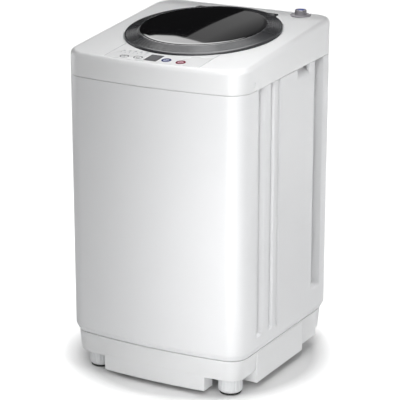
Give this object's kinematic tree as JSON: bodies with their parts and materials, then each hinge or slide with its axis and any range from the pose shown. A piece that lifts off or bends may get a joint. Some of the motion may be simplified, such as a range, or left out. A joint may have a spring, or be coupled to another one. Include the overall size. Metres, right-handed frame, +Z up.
{
  "type": "top load washing machine",
  "caption": "Compact top load washing machine with a bowed white cabinet, sloping top, round hinged lid, touch panel, and a sprung tub with basket, pulsator and belt drive.",
  "frame": {"origin": "on the floor under the middle of the body", "axes": "+Z up, the front faces -Y, +X to the right seen from the front"},
  "size_m": [0.43, 0.45, 0.7712],
  "materials": {
    "cabinet_white": "satin moulded",
    "cover_white": "gloss moulded",
    "film_white": "printed film",
    "base_white": "satin moulded",
    "foot_white": "satin moulded",
    "lid_grey": "satin grooved",
    "window_smoke": "polished",
    "display_black": "polished",
    "led_clear": "frosted",
    "button_blue": "gloss",
    "button_red": "gloss",
    "button_white": "gloss",
    "tub_plastic": "moulded",
    "pulsator_plastic": "moulded",
    "dark_plastic": "moulded",
    "inlet_grey": "moulded",
    "filter_blue": "moulded",
    "filter_bag": "mesh",
    "basket_steel": "brushed",
    "zinc_steel": "zinc plated",
    "shaft_steel": "ground",
    "cast_alloy": "cast",
    "motor_grey": "painted",
    "black_rubber": "matte",
    "board_green": "solder mask",
    "can_metal": "satin"
  },
  "bodies": {
    "cabinet": {"cabinet": "cabinet_white", "rear_panel": "zinc_steel", "rear_panel_screws": "zinc_steel", "base_frame": "base_white", "top_cover": "cover_white", "panel_film": "film_white", "display_window": "display_black", "led_lenses": "led_clear", "control_box": "dark_plastic", "control_board": "board_green", "lid_hinge_pins": "shaft_steel", "side_screw_caps": "cover_white", "inlet_connector": "inlet_grey", "inlet_filter": "filter_blue", "inlet_valve": "tub_plastic", "inlet_hose": "black_rubber", "water_spout": "dark_plastic", "pressure_sensor": "tub_plastic", "pressure_tube": "black_rubber", "wiring_harness": "black_rubber", "capacitor": "can_metal", "suspension_rods": "zinc_steel", "rod_ball_seats": "tub_plastic", "suspension_springs": "shaft_steel", "drain_outlet": "inlet_grey", "cord_gland": "black_rubber", "rear_feet": "foot_white", "rear_foot_pads": "black_rubber"},
    "lid": {"lid_ring": "lid_grey", "lid_window": "window_smoke"},
    "program_key": {"button_program": "button_white"},
    "level_key": {"button_water_level": "button_white"},
    "start_key": {"button_start": "button_blue"},
    "power_key": {"button_power": "button_red"},
    "left_foot": {"foot_front_left": "foot_white", "foot_pad_front_left": "black_rubber"},
    "right_foot": {"foot_front_right": "foot_white", "foot_pad_front_right": "black_rubber"},
    "tub": {"outer_tub": "tub_plastic", "tub_ring": "tub_plastic", "bearing_housing": "cast_alloy", "shaft_bearings": "shaft_steel", "shaft_seal": "black_rubber", "motor": "motor_grey", "motor_bracket": "zinc_steel", "drive_belt": "black_rubber", "drain_valve": "tub_plastic", "drain_actuator": "dark_plastic", "drain_hose": "black_rubber"},
    "basket": {"spin_basket": "basket_steel", "basket_base": "tub_plastic", "balance_ring": "tub_plastic", "spin_tube": "shaft_steel", "lint_filter": "filter_bag"},
    "pulsator": {"pulsator": "pulsator_plastic", "pulsator_screw": "shaft_steel", "wash_shaft": "shaft_steel", "drive_pulley": "cast_alloy"},
    "rotor": {"motor_shaft": "shaft_steel", "motor_pulley": "cast_alloy"}
  },
  "joints": [
    {"name": "lid_hinge", "type": "hinge", "parent": "cabinet", "child": "lid", "pos_m": [0, 0.16776, 0.75469], "axis": [-1, 0, 0], "range_deg": [0, 80]},
    {"name": "program_key_press", "type": "slide", "parent": "cabinet", "child": "program_key", "axis": [0, 0.1093, -0.994], "range_m": [0, 0.001], "stiffness_N_per_m": 1500, "springref_m": -0.0005},
    {"name": "level_key_press", "type": "slide", "parent": "cabinet", "child": "level_key", "axis": [0, 0.1093, -0.994], "range_m": [0, 0.001], "stiffness_N_per_m": 1500, "springref_m": -0.0005},
    {"name": "start_key_press", "type": "slide", "parent": "cabinet", "child": "start_key", "axis": [0, 0.1093, -0.994], "range_m": [0, 0.001], "stiffness_N_per_m": 1500, "springref_m": -0.0005},
    {"name": "power_key_press", "type": "slide", "parent": "cabinet", "child": "power_key", "axis": [0, 0.1093, -0.994], "range_m": [0, 0.001], "stiffness_N_per_m": 1500, "springref_m": -0.0005},
    {"name": "left_foot_level", "type": "slide", "parent": "cabinet", "child": "left_foot", "axis": [0, 0, -1], "range_m": [0, 0.012]},
    {"name": "right_foot_level", "type": "slide", "parent": "cabinet", "child": "right_foot", "axis": [0, 0, -1], "range_m": [0, 0.012]},
    {"name": "tub_suspension", "type": "slide", "parent": "cabinet", "child": "tub", "axis": [0, 0, 1], "range_m": [-0.012, 0.008], "stiffness_N_per_m": 6000, "springref_m": 0.02183, "deforming": ["suspension_springs"]},
    {"name": "basket_spin", "type": "hinge", "parent": "tub", "child": "basket", "pos_m": [0, 0.008, 0.3], "axis": [0, 0, 1], "continuous": true},
    {"name": "pulsator_spin", "type": "hinge", "parent": "tub", "child": "pulsator", "pos_m": [0, 0.008, 0.24], "axis": [0, 0, 1], "continuous": true},
    {"name": "rotor_spin", "type": "hinge", "parent": "tub", "child": "rotor", "pos_m": [-0.1, -0.052, 0.115], "axis": [0, 0, 1], "continuous": true}
  ],
  "couplings": [
    {"joint": "rotor_spin", "follows": "pulsator_spin", "ratio": 3.9412}
  ]
}
